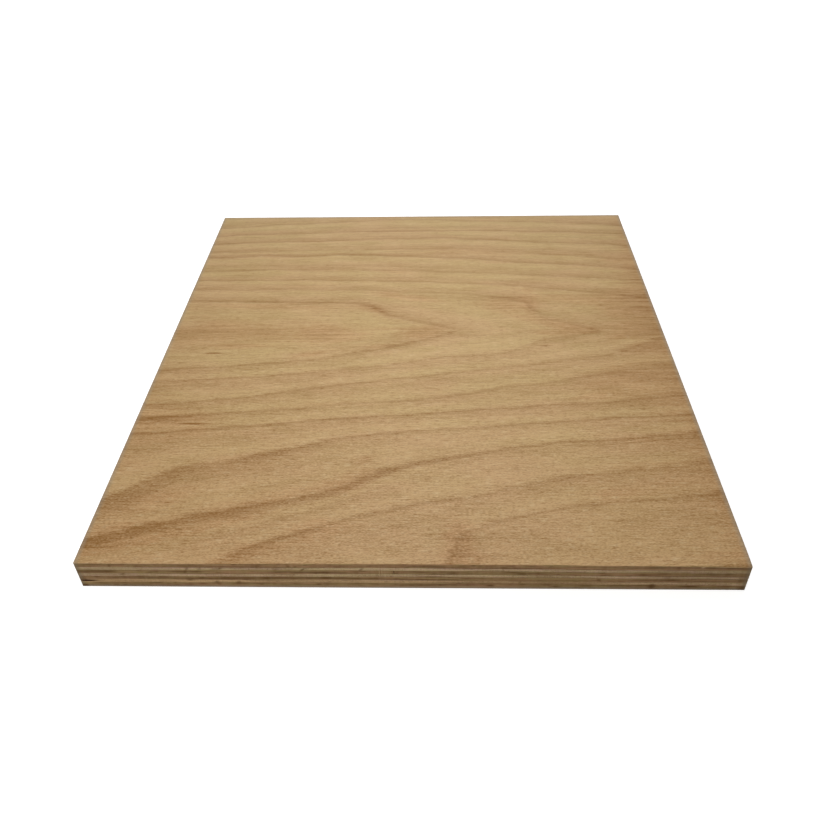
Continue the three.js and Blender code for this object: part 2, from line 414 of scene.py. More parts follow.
# Growth rings on the face. Each is (number counted outwards from the middle of the figure,
# [(from the left, from the back), ...], [(from the left, how dark, how broad), ...]). The rings
# behind the middle come first, and rings 2 and 3 close in a point towards the right.
FACE_RINGS = (
    (11, [(0, 1), (60, -12), (150, -18), (230, -12), (300, 0)], [(0, 0.3, 1.5)]),
    (10, [(0, 16.2), (20, 15.2), (40, 11.7), (80, 8.8), (120, 5.3), (140, 4.2), (190, 6.8),
     (240, 9), (260, 11.3), (280, 12.8), (300, 15.2)], [(0, 0.85, 2), (60, 0.75, 1.5),
     (150, 0.7, 1.4), (220, 0.75, 1.5), (300, 0.9, 1.9)]),
    (9, [(0, 27.2), (20, 25.3), (80, 22.7), (140, 21.2), (200, 21.4), (250, 23.4), (275, 25.1),
     (300, 27.5)], [(0, 0.95, 1.2), (90, 1, 1.4), (200, 1.05, 1.4), (300, 0.95, 1.6)]),
    (8, [(0, 38.3), (20, 36.4), (50, 35.1), (80, 34.7), (110, 32), (170, 30.9), (200, 33.8),
     (250, 38.1), (285, 40.6), (300, 44)], [(0, 1.1, 1.5), (90, 1, 1.4), (190, 1, 1.5),
     (300, 1.1, 1.6)]),
    (7, [(0, 48.8), (75, 47), (150, 46.4), (175, 45.4), (205, 49), (235, 51.6), (270, 56.4),
     (300, 61)], [(0, 0.35, 1.6), (130, 0.45, 1.6), (220, 0.45, 1.8), (300, 0.4, 1.8)]),
    (6, [(0, 55.5), (20, 55), (40, 53.2), (65, 54.5), (95, 52.7), (110, 52.6), (150, 55),
     (185, 58.2), (215, 62.2), (260, 66.6), (280, 68.6), (300, 71.8)], [(0, 1.1, 2.4),
     (50, 1.05, 2.5), (90, 1.05, 2.3), (200, 0.95, 2.2), (300, 0.95, 2.2)]),
    (5, [(0, 72.7), (30, 71.4), (100, 70.8), (150, 72.5), (210, 77.1), (270, 82), (300, 85.8)],
     [(0, 0.85, 1.6), (100, 0.7, 1.5), (200, 0.7, 1.4), (300, 0.85, 1.2)]),
    (4, [(0, 83), (80, 83.2), (150, 85.3), (200, 88.7), (220, 90.7), (235, 93.7), (260, 97.6),
     (290, 103.2), (300, 104.8)], [(0, 1.15, 0.9), (120, 0.95, 0.9), (220, 0.95, 0.9),
     (300, 1.15, 1.3)]),
    (3, [(0, 93.3), (40, 94.3), (60, 93.8), (67, 92.8), (75, 94), (110, 94.6), (150, 97.2),
     (170, 97.9), (190, 101.7), (205, 103.8), (217, 107), (221, 111), (223, 118), (229, 125),
     (238, 129), (250, 132), (257, 135.5), (262, 139)], [(0, 0.95, 0.8), (120, 0.85, 0.8),
     (185, 0.85, 1), (222, 0.9, 2.2), (262, 0.7, 3)]),
    (2, [(0, 106), (30, 106.4), (50, 107.5), (100, 108.6), (112, 109.6), (119, 112), (125, 116),
     (134, 121.8), (145, 126), (155, 129.8), (167, 133), (174, 137)], [(0, 1.6, 0.8),
     (100, 1.4, 0.9), (123, 1.15, 3), (140, 1.15, 2), (174, 1.4, 1.8)]),
    (2, [(0, 173), (30, 170.8), (50, 169), (80, 165.2), (95, 163.5), (125, 155.2), (150, 147.7),
     (162, 143.7), (170, 140), (174, 137)], [(0, 1.2, 0.8), (60, 1.35, 0.8), (110, 1.45, 1),
     (135, 1.5, 1.6), (174, 1.4, 1.6)]),
    (3, [(0, 182.8), (30, 181), (50, 179.6), (90, 175.3), (130, 169.8), (165, 162.9), (195, 159.2),
     (208, 156.2), (217, 151.7), (225, 147), (250, 141.4), (262, 139)], [(0, 1.15, 1),
     (100, 0.95, 0.8), (200, 0.8, 0.9), (222, 0.75, 1.6), (262, 0.7, 2.8)]),
    (4, [(0, 201.2), (20, 199.9), (50, 197), (65, 193.9), (90, 188.8), (120, 183.6), (150, 179.4),
     (180, 174.3), (215, 169.3), (250, 163), (262, 160.3), (272, 156.3), (285, 151.3), (300, 146)],
     [(0, 1.05, 1), (80, 1.2, 0.8), (200, 1.05, 0.7), (300, 0.85, 1.1)]),
    (5, [(0, 211.8), (40, 208.4), (80, 204.6), (125, 199.6), (150, 198.2), (185, 191.6),
     (207, 185.9), (225, 184.4), (240, 180.5), (270, 173.5), (285, 171.7), (300, 171)],
     [(0, 1.1, 1.6), (60, 1.1, 1.2), (150, 1.05, 1.3), (205, 1.05, 1.6), (300, 0.95, 1.3)]),
    (6, [(0, 222.3), (20, 221), (55, 218), (90, 213.9), (105, 211.8), (150, 208.7), (185, 205.3),
     (225, 201.5), (250, 200.2), (285, 196), (300, 194)], [(0, 1.2, 1.6), (60, 1.4, 1.2),
     (200, 1.4, 1), (300, 1.3, 1.6)]),
    (7, [(0, 265), (10, 261.2), (30, 246.5), (40, 244.4), (55, 242), (80, 235.1), (110, 226.3),
     (125, 223.6), (150, 220.4), (190, 217.6), (230, 213.6), (250, 211.9), (300, 208.5)],
     [(0, 0.9, 7), (40, 0.9, 6.5), (75, 1, 4.6), (120, 1.25, 2.2), (200, 1.4, 1), (300, 1.15, 1)]),
    (8, [(0, 288.2), (15, 284.2), (45, 275.4), (75, 268.8), (105, 262), (118, 257.2), (125, 252.8),
     (135, 248), (150, 242.8), (180, 236.9), (210, 231.1), (225, 228.7), (265, 225.7),
     (300, 221.2)], [(0, 1.08, 11.5), (40, 1.06, 10.5), (80, 1.04, 8.5), (130, 1, 5.8),
     (180, 1, 3.6), (225, 0.85, 3.2), (300, 0.9, 3.2)]),
    (9, [(0, 299), (60, 284), (100, 271), (125, 262), (150, 249), (175, 241), (200, 234.4),
     (220, 231.9), (250, 228.6), (300, 224)], [(0, 0, 1), (140, 0, 1), (165, 0.6, 1.4),
     (220, 0.8, 1.4), (265, 0.9, 1.4), (290, 0.3, 1.2), (300, 0, 1)]),
    (10, [(0, 330), (40, 311), (60, 303), (67.5, 299), (75, 293), (85, 287.6), (97, 284.5),
     (110, 279.5), (130, 272.6), (160, 266.4), (180, 263.2), (212, 254.8), (222, 251.8),
     (260, 247.7), (300, 240.8)], [(0, 0.9, 4), (90, 1.05, 2.6), (130, 1.05, 1.7),
     (190, 1.15, 1.3), (235, 0.95, 2), (300, 1.05, 1.9)]),
    (11, [(0, 350), (150, 315), (165, 305), (168, 297), (169, 290), (171, 284.5), (180, 280.6),
     (205, 273.1), (232, 267.4), (270, 263.7), (300, 260.2)], [(0, 0.8, 3), (172, 0.95, 2.8),
     (200, 1.2, 1.4), (240, 1.15, 1.4), (300, 0.95, 1.3)]),
    (12, [(0, 390), (150, 350), (200, 320), (300, 298)], [(0, 0.6, 3)]),
)
# The middle of the figure, as (from the left, from the back, ring number there).
FACE_AXIS = [(0, 139, 1.3), (100, 138, 1.5), (174, 137, 2.0), (220, 138, 2.45), (262, 139, 3.0),
             (300, 140, 3.3)]
SMALLEST_GAP = 0.05  # kept between rings where they close in a point
CURVE_SMOOTHING = 2.0  # rounds the corners of the ring tables
CURVE_STEP = 0.5  # between the points of a ring's curve
BACK_RING_SPACING = 18.0

# In the tables of marks below, how dark is in hundredths, and less than 0 for a pale mark.

# Soft stains on the face: (from the left, from the back, length, width, turn in degrees,
# how dark).
FACE_STAINS = (
    # the heart of the figure, and round its points
    (30, 137, 90, 24, 0, 20), (88, 138, 44, 17, 0, 24), (95, 147, 60, 12, 0, 8),
    (119, 114, 16, 8, 20, 16), (128, 119, 16, 6, 35, 15), (128, 100, 34, 7, 8, 12),
    (150, 104, 44, 6, 12, 16), (38, 151, 30, 4, 0, 14), (88, 159, 34, 5, -12, 18),
    (154, 138.5, 30, 12, -6, 28), (207, 112, 36, 16, 4, 22), (232, 130, 56, 8, 17, 20),
    (240, 105, 60, 8, 3, 10), (218, 95, 30, 6, 3, 10), (222, 116, 8, 16, 0, 14),
    (240, 140, 44, 8, -3, 24), (287, 112, 40, 22, 0, 27), (285, 145, 44, 110, 0, 5),
    (295, 118, 16, 20, 0, 12), (292, 147, 20, 3.5, -20, 20), (294, 189, 16, 8, -8, 12),
    (285, 137, 40, 14, 0, 12), (60, 112, 130, 8, 0, 14), (74, 138, 14, 8, 0, -14),
    (82, 118, 44, 6, 0, 9), (131, 135, 24, 6, -4, 10), (8, 132, 24, 14, 0, -10),
    (40, 152.8, 44, 5, -3, 16), (112, 141, 24, 8, -5, 12), (127, 152, 30, 4, -14, 12),
    (138, 105, 30, 5, 6, 6), (222, 105, 12, 16, -15, 12), (258, 141, 22, 5, -12, -12),
    (158, 153.5, 40, 5, -14, -12), (96, 201, 44, 4, -6, 12), (268, 147, 24, 4, -22, 10),
    (268, 171, 30, 6, -10, 10), (26, 225, 40, 5, -12, 9), (250, 106, 50, 12, 3, 10),
    (145, 104, 30, 8, 8, 8), (190, 130, 50, 20, 28, -15), (150, 115, 34, 16, 25, -10),
    (243, 117, 34, 9, 10, -12), (190, 157, 90, 16, -6, -13), (100, 164, 80, 9, -8, -8),
    (25, 158, 60, 12, -3, -8),
    # behind it
    (240, 53, 130, 9, 5, 10), (170, 46.5, 60, 6, 0, 10), (120, 51, 170, 4, 1, 9),
    (165, 51, 66, 4, 2, 5), (138, 75, 32, 4, 4, 12), (206, 63, 44, 4, 6, 8),
    (198, 69, 30, 4, 6, -10), (85, 57, 34, 4, 0, 9), (272, 28, 44, 4, 6, 9),
    (288, 63, 26, 5, 6, 10), (34, 21, 74, 4, -3, -9), (8, 9, 26, 5, 0, -9), (58, 3, 44, 4, 0, -8),
    (6, 45, 22, 4, 0, -9), (95, 71, 110, 6, 1, 7), (30, 15, 60, 8, 0, -10),
    (260, 18, 70, 7, 0, -10),
    # in front of it
    (14, 212, 60, 14, -4, 20), (32, 263, 40, 12, -20, 15), (12, 231, 30, 8, -4, -8),
    (34, 217, 14, 8, 0, 12), (125, 240, 8, 12, 60, 12), (120, 254, 40, 12, -18, 20),
    (38, 279, 90, 10, -13, 12), (110, 283, 26, 11, -12, 16), (20, 290.5, 50, 5, -15, 24),
    (62, 279, 44, 4.5, -16, 18), (68, 237, 50, 6, -10, 10), (78, 262, 50, 8, -12, 10),
    (115, 218.5, 28, 6, -6, -10), (186, 221, 22, 6, -5, -12), (90, 290, 30, 10, -15, 10),
    (72, 296, 26, 9, -22, 22), (286, 296, 26, 8, 0, 10), (78, 267, 44, 5, -16, 10),
    (7, 289, 34, 16, -12, 13), (102, 279, 26, 5, -18, 12), (142, 231, 76, 5, -9, -11),
    (42, 250, 30, 5, -22, -10), (172, 288, 14, 26, 0, 28), (174, 298, 34, 7, 0, 15),
    (255, 245, 60, 8, -3, 10), (245, 262, 26, 12, -8, 10), (265, 226, 24, 8, 0, 10),
    (262, 186, 50, 30, -12, 14), (160, 222, 90, 12, -7, -14), (228, 218, 34, 8, -4, -18),
    (222, 239, 80, 9, -8, -14), (165, 252, 60, 12, -10, -13), (10, 256, 26, 13, -25, -22),
    (25, 297, 60, 8, 0, -16), (130, 296, 26, 10, 0, -16), (232, 280, 26, 11, -3, -20),
    (198, 265, 44, 5, -10, -10), (264, 258, 44, 9, -8, 10), (246, 195, 26, 4, -6, 12),
    # down the two sides
    (2, 215, 50, 180, 0, 12), (297, 190, 50, 230, 0, 12), (299, 80, 30, 90, 0, 12),
    (300, 150, 14, 500, 0, 12), (150, 4, 400, 7, 0, -7),
)
# Fine dark marks on the face: (from the left, from the back, length, width, how dark).
FACE_PITS = (
    (29.5, 158, 9, 1, 125), (30.5, 215.3, 12, 0.9, 150), (227, 152, 8, 1.2, 60),
    (89, 193.8, 3, 0.6, 50), (89.5, 240, 3, 0.6, 80), (274, 204.3, 4, 0.7, 40),
    (33, 267, 3, 0.7, 50), (43, 282, 3, 0.7, 90), (267, 112, 12, 1.8, 28),
    (248.7, 113.7, 8, 1.4, 15), (194, 112, 9, 1.2, 15), (210, 142.7, 8, 1.4, 15),
    (270, 54.6, 6, 1.4, 20),
)
# Broad stains on the front edge: (from the left, above the floor, length, height, how dark).
EDGE_STAINS = (
    # The first row is painted shade round the split.
    (2.9, 4.6, 3.2, 0.7, 60), (20, 13.8, 60, 2.6, 28), (80, 13.8, 50, 2.4, 13),
    (22, 9.3, 56, 2.4, 20), (20, 4.7, 60, 2.6, 22), (80, 7, 50, 2.6, 10), (75, 9.3, 50, 2.2, -10),
    (150, 1.8, 100, 3, -10), (225, 11.5, 50, 2.6, 20), (225, 16, 50, 2.4, 10),
    (225, 13.8, 50, 2.4, 13), (225, 7, 50, 2.4, 17), (276, 13.8, 52, 2.6, 32),
    (276, 11.5, 52, 2.6, 36), (276, 9.3, 52, 2.4, 28), (276, 7, 52, 2.4, 32), (276, 2, 52, 3, 28),
    (290, 15.8, 26, 2, 22), (34, 11.5, 46, 2.4, 18), (207, 4.5, 60, 2.4, 25),
    # The pale rows at the top arris are painted highlight where it rounds over towards the light,
    # with paler face wood showing.
    (28, 17.1, 70, 0.5, -30), (150, 16.8, 300, 0.7, 8), (262, 17.1, 60, 0.5, -12),
    (289, 16.7, 12, 0.8, -40), (125, 1.3, 150, 1, -12), (8, 11.5, 20, 2.3, 80),
    (96, 7.2, 74, 1.5, 40), (100, 4.7, 110, 2.6, -14), (28, 1.6, 60, 3.4, 14),
    (140, 11.5, 5.4, 2.4, -15), (297.5, 8, 4, 13, 30),
)
# Smaller marks there, in the same way. Some have a sixth number: how far the top leans to the
# right for each millimetre of height.
EDGE_MARKS = (
    # on the face veneer
    (8, 16.6, 12, 0.9, 35), (19, 16.8, 10, 0.7, 25), (16, 15.7, 1.6, 1.8, 35, 0.3),
    (4, 15.2, 6, 0.8, 20), (28.3, 15.9, 1.4, 1.8, 25, 0.4), (29.5, 15.2, 5, 0.7, 25),
    (54, 17, 1.3, 1, 35, 0.3), (72, 17.1, 2.2, 1, 45), (81, 16.3, 9, 1.2, 30),
    (82, 15.1, 1, 2.6, 25, 0.1), (95.3, 17.2, 2, 0.8, 35), (96.3, 15.9, 1.4, 1.8, 35, -0.3),
    (99.5, 15.5, 1.5, 1.2, 40), (118, 15.5, 3, 1, 30), (133, 16.6, 1.8, 1.4, 20),
    (137, 16.8, 7, 0.7, 25), (149, 15.6, 2.5, 0.9, 35), (159, 16.8, 10, 0.7, 30),
    (162, 15.6, 5, 0.8, 25), (173, 16.3, 4, 1.6, 30), (178.3, 17.3, 2.2, 1, 80),
    (181.5, 16.4, 2, 1.5, 30, 0.2), (186, 16.5, 5, 1.2, 25), (192, 15.5, 2.4, 1.2, 40),
    (194.5, 16.9, 3, 0.7, 30), (204, 16.8, 4.5, 0.9, 35), (212.5, 17.2, 2, 1.2, 35),
    (227, 16.4, 4, 1.8, 20), (245, 17.3, 2.6, 0.9, 45), (258, 16.4, 8, 1.4, 25),
    (268.5, 16, 2.5, 2, 25), (278.6, 16.6, 1.6, 1.2, -45, 0.4), (283, 16.1, 3.5, 0.9, 40),
    (292, 16, 7, 0.8, 50),
    # on the upper crossband
    (50.6, 13.8, 1.3, 2, 35, 0.4), (56.2, 13.6, 1.6, 1.8, 30, 0.3),
    (62.8, 13.6, 3.4, 1.4, 30, 0.8), (65.4, 13.9, 2.2, 1.8, 40, 0.8),
    (90.4, 13.3, 2.2, 1.4, 30, 0.5), (102.6, 13.6, 1.4, 2.2, 50, 0.8),
    (128.6, 13.8, 1.6, 2, 45, 0.8), (230.5, 13.5, 3, 1.6, -15),
    # on the upper inner ply
    (15.5, 11.6, 6, 1.1, 15), (33.5, 11, 3, 1.2, 35, 0.3), (36.5, 11.5, 2, 1.4, 30, 0.3),
    (46, 11.6, 6, 1.6, 25), (49.4, 11.5, 1.4, 2.4, 35, 0.3), (54, 11.5, 5, 1.2, 40),
    (62, 12.3, 8, 0.6, 25), (64.5, 10.8, 5, 0.8, 30), (92, 11.4, 6, 1.4, 30),
    (99.5, 11.4, 3, 1.6, 30), (110, 11.5, 8, 1.4, 30), (113.3, 11.3, 1.4, 1.6, 30, 0.2),
    (126, 11.8, 3, 1.6, 25), (129.5, 12.5, 3, 0.7, 40), (144.6, 12.3, 3.5, 0.8, 40),
    (144.2, 11.4, 2, 1.6, 25), (153, 12.3, 10, 0.8, 40), (165, 12.6, 7, 0.6, 35),
    (169.5, 11.5, 4, 1.6, 40), (196, 12.2, 8, 1, 50), (200, 11.2, 5, 1.2, 50),
    (207, 11.5, 6, 1.6, 30), (235, 12.2, 3, 0.8, 35), (237, 10.7, 8, 0.8, 35),
    (253.5, 11, 5, 1.4, 35), (262, 11.7, 6, 1.8, 20), (283, 12, 10, 1, 25),
    (291, 11.8, 4, 1.4, 30),
    # on the centre ply
    (20.8, 9.6, 2, 1.8, 30, 0.6), (110.2, 8.7, 0.9, 1.2, -20, 0.3), (135.7, 10, 1.4, 1, 30),
    (142, 8.6, 1.2, 0.8, 30), (160, 8.7, 5, 0.8, 20), (264.5, 9, 2.5, 2, 15),
    # on the lower inner ply
    (8.5, 7.6, 3, 0.8, 35), (15, 6.4, 6, 0.8, 20), (28, 7.7, 5, 0.7, 30),
    (37.5, 7.8, 1.4, 0.7, 40, 0.5), (50.5, 6.8, 4, 1.4, 30), (57, 7, 4, 1, 45),
    (67, 7, 8, 1.4, 35), (76, 7.2, 10, 1.2, 20), (85.5, 7, 4, 1.8, 35), (92, 7.2, 8, 1.4, 25),
    (99, 6.9, 5, 1, 25), (105, 7.2, 5, 1.2, 30), (112, 7.5, 7, 1.5, 50), (119, 7.4, 8, 1.2, 30),
    (126, 7.1, 8, 1.2, 30), (134, 7.3, 8, 1.4, 30), (156, 6.7, 10, 0.8, 40),
    (165, 6.6, 4, 0.9, 35), (180, 7.6, 10, 0.8, 25), (196, 6.5, 14, 0.7, 25),
    (234.3, 7.1, 1.8, 1.8, 40, -0.3), (254, 6.9, 8, 1.2, 20), (266, 7.1, 6, 1.4, 30),
    (296.5, 7.2, 3, 2, 15),
    # on the lower crossband; the first is painted shade in the split
    (3.8, 4.6, 9, 1.2, 75), (2, 6.2, 3, 2.6, 30, 0.3), (50.6, 5.4, 3.6, 1.4, 45),
    (54.7, 4.6, 0.9, 2, -20, 0.3), (62.7, 4.3, 1.6, 1.6, 35), (72.7, 4.2, 2.2, 1.6, 50),
    (113.7, 4.6, 2, 1.4, 30), (139.5, 4.9, 1.4, 1.2, 30), (158.5, 5.2, 4, 1, -20),
    (199.3, 5, 1.2, 1.4, 25),
    # on the back veneer
    (3, 3.5, 7, 0.7, -30), (1.3, 1, 3, 1.6, 100), (9, 2.8, 5, 1.2, 25), (16, 1.5, 2.5, 0.9, 30),
    (20, 1.4, 2, 0.9, 25), (34.5, 3.2, 6, 1, 35), (43.4, 3.2, 1.6, 1.4, 30), (50, 2.3, 5, 1.4, 30),
    (56, 2.6, 4, 1.2, 35), (63, 3.2, 4, 1.4, 35), (73.5, 3, 6, 1.2, 35), (83, 2.4, 2, 0.9, 40),
    (98, 3.1, 3, 1, 30), (108.8, 2.8, 2, 1.2, 50), (114, 3, 6, 1.2, 25), (126, 3, 6, 1, 30),
    (134, 3.1, 7, 0.8, 30), (148, 2.4, 8, 0.8, 35), (157, 2.4, 12, 0.9, 30),
    (164, 2.6, 3, 1.2, 30), (186.3, 2.5, 3.5, 1.4, 60), (189.5, 2.8, 2.5, 0.8, -20),
    (201, 3.6, 4, 0.6, 30), (211, 3.6, 8, 0.6, 30), (215.5, 2, 5, 0.9, 50), (229, 2.5, 6, 1.2, 40),
    (243, 2.9, 10, 0.9, 30), (258.3, 2.7, 2.8, 3.2, 80), (253, 3.2, 8, 0.7, 35),
    (275, 2.6, 9, 1.2, 60), (291, 2.7, 10, 1, 40), (298.5, 1.5, 3.5, 3.5, 35),
)
MARK_STRENGTH = 1.6
MARK_REACH = 5  # how far in from the front edge its stains and marks are written
# Hairlines across the plies of the front edge: (from the left, above the floor, width, height,
# how dark).
HAIRLINES = (
    (136.85, 12, 0.5, 6.4, -30), (137.3, 12, 0.5, 6.4, 35), (137.75, 12.3, 0.5, 6, -25),
)
HAIRLINE_DEPTH = 10  # the size of their strokes along Y


def smoothed(values):
    reach = int(4 * CURVE_SMOOTHING / CURVE_STEP)
    window = np.exp(-0.5 * ((np.arange(-reach, reach + 1) * CURVE_STEP) / CURVE_SMOOTHING) ** 2)
    before = 2 * values[0] - values[reach:0:-1]
    beyond = 2 * values[-1] - values[-2 : -reach - 2 : -1]
    return np.convolve(np.concatenate([before, values, beyond]), window / window.sum(), "valid")


def ring_field(left, back):
    """The ring number at each point of a grid of places, with how dark and how broad it is."""
    ring = np.zeros((len(left), len(back)))
    dark, broad = ring.copy(), ring.copy()
    fine = np.arange(0.0, left.max() + 1.0, CURVE_STEP)
    lines = []
    for number, path, look in FACE_RINGS:
        xs, ys = knots(path)
        line = np.interp(left, fine, smoothed(np.interp(fine, xs, ys)))
        looks = (np.interp(left, *knots(look, column)) for column in (1, 2))
        lines.append((number, xs[-1], line, *looks))
    axis_y, axis_number = (np.interp(left, *knots(FACE_AXIS, column)) for column in (1, 2))
    for i, x in enumerate(left):
        here = []
        for number, end, line, line_dark, line_broad in lines:
            if x < end + 0.1:
                gap = line[i] - axis_y[i]
                gap = math.copysign(max(abs(gap), SMALLEST_GAP * number), gap)
                here.append((axis_y[i] + gap, number, line_dark[i], line_broad[i]))
        ys, numbers, darks, broads = np.array(sorted(here)).T
        dark[i], broad[i] = np.interp(back, ys, darks), np.interp(back, ys, broads)
        middle = np.searchsorted(ys, axis_y[i])
        numbers = np.insert(numbers, middle, axis_number[i])
        ring[i] = np.interp(back, np.insert(ys, middle, axis_y[i]), numbers)
    return ring, dark, broad


def back_field(left, back):
    """The plainer figure of the back veneer: long rings that bow once across the panel."""
    x, y = left[:, None], back[None, :]
    bow = 16 * np.cos((x - 170) / 95) + 5 * np.sin(x / 31 + 1)
    ring = (y + bow * (0.4 + 0.6 * y / 300)) / BACK_RING_SPACING
    ring = ring + 0.4 * (value_noise(41, x / 60, y / 25) - 0.5)
    ring = ring + 1.6 * (value_noise(44, y / 42, x / 500) - 0.5)
    dark = 0.35 + 0.5 * value_noise(42, ring, x / 90)
    broad = 0.8 + 2.5 * value_noise(43, ring, x / 120) ** 2
    return ring, dark, broad


def stain_field(left, back, stains):
    """How dark the stains are at each point of a grid of places."""
    shade = np.zeros((len(left), len(back)))
    x, y = left[:, None], back[None, :]
    for place, down, length, width, turn, dark in stains:
        c, s = math.cos(math.radians(turn)), math.sin(math.radians(turn))
        along = (x - place) * c + (y - down) * s
        across = (y - down) * c - (x - place) * s
        spread = (along / (length / 2)) ** 2 + (across / (width / 2)) ** 2
        shade += dark / 100 * np.exp(-spread)
    return shade


def write_figure(mesh, ply, fields, stains):
    """Writes at every point its place in the growth rings, and how dark its stains are."""
    points = np.concatenate(ply.points)
    left, back = from_left(rim.x_places), from_back(rim.y_places)[::-1]
    at_x, at_y = from_left(points[:, 0]), from_back(points[:, 1])
    ring, dark, broad = fields(left, back)
    lean, rise = np.gradient(ring, left, back)
    named = dict(ring=ring, lean=lean, pace=np.hypot(lean, rise), dark=dark, broad=broad)
    for name, field in named.items():
        write_numbers(mesh, name, bilinear(field, left, back, at_x, at_y))
    shades = bilinear(stain_field(left, back, stains), left, back, at_x, at_y)
    rows = len(ply.rows)
    low, high = (0, rows - ARRIS_STEPS) if ply.name == FACE else (1, rows)
    row = np.arange(len(points)) // rim.count
    on_edge = (row >= low) & (row < high)
    write_numbers(mesh, "shade", np.where(on_edge, edge_shade(points), shades))


def bilinear(field, xs, ys, x, y):
    i = np.clip(np.searchsorted(xs, x) - 1, 0, len(xs) - 2)
    j = np.clip(np.searchsorted(ys, y) - 1, 0, len(ys) - 2)
    s = np.clip((x - xs[i]) / (xs[i + 1] - xs[i]), 0, 1)
    t = np.clip((y - ys[j]) / (ys[j + 1] - ys[j]), 0, 1)
    return blended(field, i, j, i + 1, j + 1, s, t)

# --- Materials ---------------------------------------------------------------------------------


def linear(red, green, blue):
    """A screen colour, 0 to 255, as the linear colour that Blender's sockets hold."""
    parts = [c / 255 for c in (red, green, blue)]
    return [c / 12.92 if c <= 0.04045 else ((c + 0.055) / 1.055) ** 2.4 for c in parts] + [1.0]


class Shader:
    """A short way to write node trees: most methods add nodes and return the last one's output."""

    def __init__(self, owner, flat=False):
        owner.use_nodes = True
        self.owner = owner
        self.nodes, self.links = owner.node_tree.nodes, owner.node_tree.links
        self.flat = flat  # whether noises vary in X and Y alone, which is quicker

    def fill(self, node, inputs):
        """Sets a node's inputs, each to a value or to another node's output."""
        for name, value in inputs.items():
            if isinstance(value, bpy.types.NodeSocket):
                self.links.new(value, node.inputs[name])
            else:
                node.inputs[name].default_value = value

    def node(self, kind, inputs, output=0, **settings):
        node = self.nodes.new(kind)
        for name, value in settings.items():
            setattr(node, name, value)
        self.fill(node, inputs)
        return node.outputs[output]

    def attribute(self, name):
        return self.node("ShaderNodeAttribute", {}, "Fac", attribute_name=name)

    def where(self):
        """Object coordinates, in metres."""
        return self.node("ShaderNodeTexCoord", {}, "Object")

    def axis(self, letter):
        return self.node("ShaderNodeSeparateXYZ", {0: self.where()}, letter)

    def margin(self, letter):
        """How far each place is from the panel's nearer side along X or Y, in metres."""
        half = {"X": half_x, "Y": half_y}[letter]
        return self.math("SUBTRACT", half, self.math("ABSOLUTE", self.axis(letter)))

    def mapped(self, scale, shift):
        """Object coordinates, scaled and then moved."""
        inputs = {"Vector": self.where(), "Scale": scale, "Location": shift}
        return self.node("ShaderNodeMapping", inputs)

    def place(self, scale, shift=(0, 0, 0)):
        """Object coordinates, where 1 unit is the given number of millimetres on each axis."""
        return self.mapped([1 / (MM * s) for s in scale], shift)

    def ring_place(self, lines, length):
        """A place that follows the growth rings: lines to a ring, and millimetres along X."""
        inputs = {"X": self.times(self.attribute("ring"), lines),
                  "Y": self.times(self.axis("X"), 1 / (MM * length))}
        return self.node("ShaderNodeCombineXYZ", inputs)

    def length(self, vector):
        return self.node("ShaderNodeVectorMath", {0: vector}, "Value", operation="LENGTH")

    def spot(self, middle, size):
        """1 at a place in metres, falling away within a stroke of a size in millimetres."""
        reach = [s / 2 * MM for s in size]
        shift = [-m / r for m, r in zip(middle, reach)]
        return self.fade(self.length(self.mapped([1 / r for r in reach], shift)), 1.0)

    def noise(self, place, detail=2.0, roughness=0.5):
        inputs = {"Vector": place, "Scale": 1.0, "Detail": detail, "Roughness": roughness}
        dimensions = "2D" if self.flat else "3D"
        return self.node("ShaderNodeTexNoise", inputs, "Fac", noise_dimensions=dimensions)

    def borders(self, place):
        """How far each place is from the border of its cell in a mesh of irregular cells."""
        inputs = {"Vector": place, "Scale": 1.0}
        return self.node("ShaderNodeTexVoronoi", inputs, "Distance", feature="DISTANCE_TO_EDGE")

    def math(self, operation, *values):
        return self.node("ShaderNodeMath", dict(enumerate(values)), operation=operation)

    def band(self, value, low, high, to_low=0.0, to_high=1.0, ends="SMOOTHSTEP"):
        """value, moved from the range low to high to another range, with soft ends."""
        inputs = {"Value": value, "From Min": low, "From Max": high,
                  "To Min": to_low, "To Max": to_high}
        return self.node("ShaderNodeMapRange", inputs, "Result", interpolation_type=ends)

    def mix(self, share, first, second):
        inputs = {"Factor": share, "A": first, "B": second}
        return self.node("ShaderNodeMix", inputs, "Result", data_type="RGBA")

    def add(self, *values):
        total = values[0]
        for value in values[1:]:
            total = self.math("ADD", total, value)
        return total

    def times(self, *values):
        total = values[0]
        for value in values[1:]:
            total = self.math("MULTIPLY", total, value)
        return total

    def swing(self, noise, amount):
        """A noise, moved to vary about 0 by as much as amount times its own variation."""
        return self.times(self.add(noise, -0.5), amount)

    def clamped(self, value):
        return self.math("MINIMUM", self.math("MAXIMUM", value, 0.0), 1.0)

    def fade(self, distance, reach):
        """1 at no distance, falling away as exp(-(distance / reach) squared)."""
        share = self.math("DIVIDE", distance, reach)
        return self.math("EXPONENT", self.times(share, share, -1.0))

    def bump(self, height, strength, distance):
        inputs = {"Strength": strength, "Distance": distance * MM, "Height": height}
        return self.node("ShaderNodeBump", inputs)

    def finish(self, colour, roughness, normal, specular):
        self.fill(self.nodes["Principled BSDF"], {
            "Base Color": colour, "Roughness": roughness, "Normal": normal,
            "Specular IOR Level": specular,
        })
        return self.owner

    def seen_directly(self):
        """1 for rays from the camera, and for mirrored and transmitted ones; 0 for soft light."""
        path = self.nodes.new("ShaderNodeLightPath").outputs
        either = self.math("MAXIMUM", path["Is Camera Ray"], path["Is Glossy Ray"])
        return self.math("MAXIMUM", either, path["Is Transmission Ray"])

    def show(self, lighting, seen, output):
        """Gives the output one shader for soft light, and one for rays that see it directly."""
        picked = self.node("ShaderNodeMixShader", {0: self.seen_directly(), 1: lighting, 2: seen})
        self.fill(self.nodes[output], {"Surface": picked})


